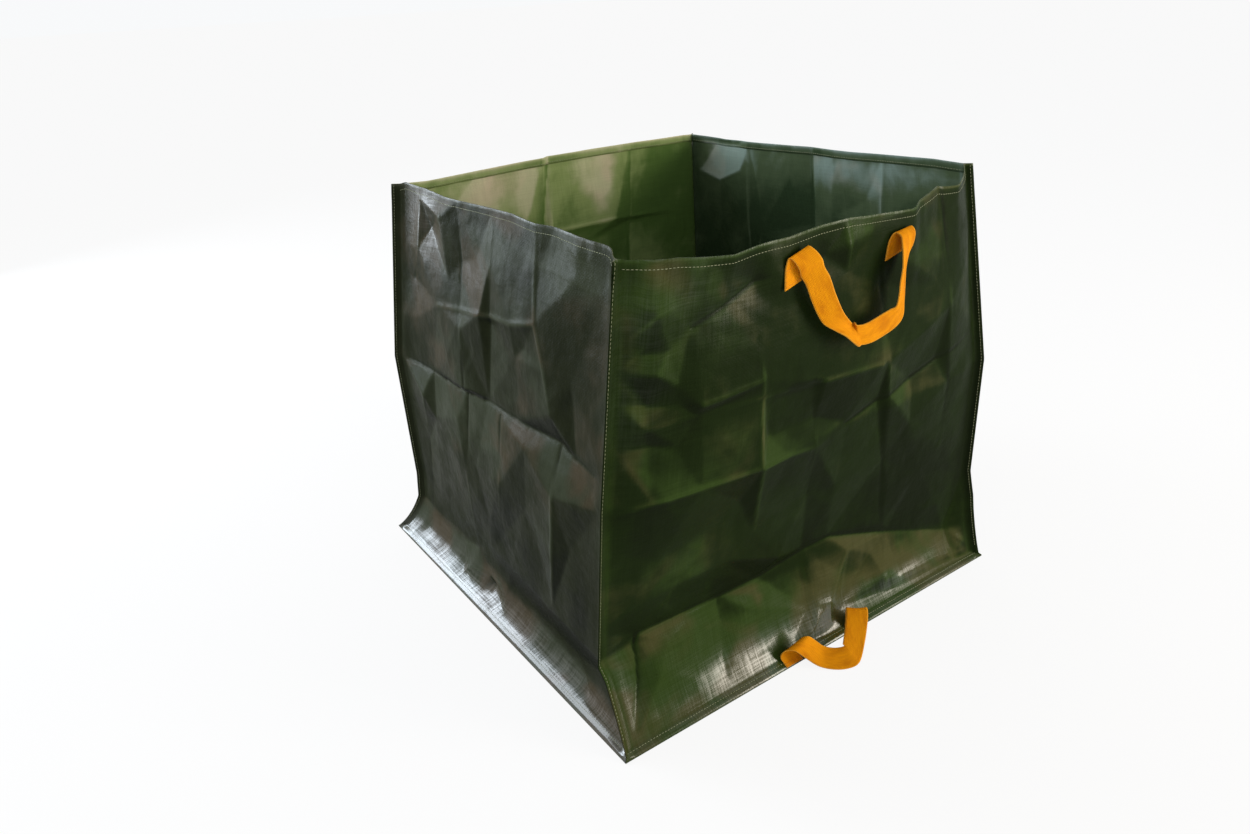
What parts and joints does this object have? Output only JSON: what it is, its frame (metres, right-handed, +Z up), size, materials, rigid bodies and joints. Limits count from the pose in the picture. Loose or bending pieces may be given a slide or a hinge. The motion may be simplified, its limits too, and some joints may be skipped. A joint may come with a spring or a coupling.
{
  "type": "garden waste bag",
  "caption": "Square open-topped garden waste bag of woven plastic cloth with a hemmed mouth, upright corner seams, webbing carry handles and a tipping handle at the foot.",
  "frame": {"origin": "middle of the base panel, on the ground it rests on", "axes": "+Z up out of the mouth, -Y out of the front wall that carries the tipping handle, +X towards the right wall as seen from the front"},
  "size_m": [0.7008, 0.7559, 0.6116],
  "materials": {
    "wall_cloth": "glossy laminated woven cloth",
    "base_cloth": "glossy laminated woven cloth",
    "webbing": "matte flat-woven webbing"
  },
  "bodies": {
    "root": {"front_wall": "wall_cloth", "right_wall": "wall_cloth", "back_wall": "wall_cloth", "left_wall": "wall_cloth", "base_panel": "base_cloth", "front_carry_handle": "webbing", "back_carry_handle": "webbing", "tipping_handle": "webbing"}
  },
  "joints": []
}
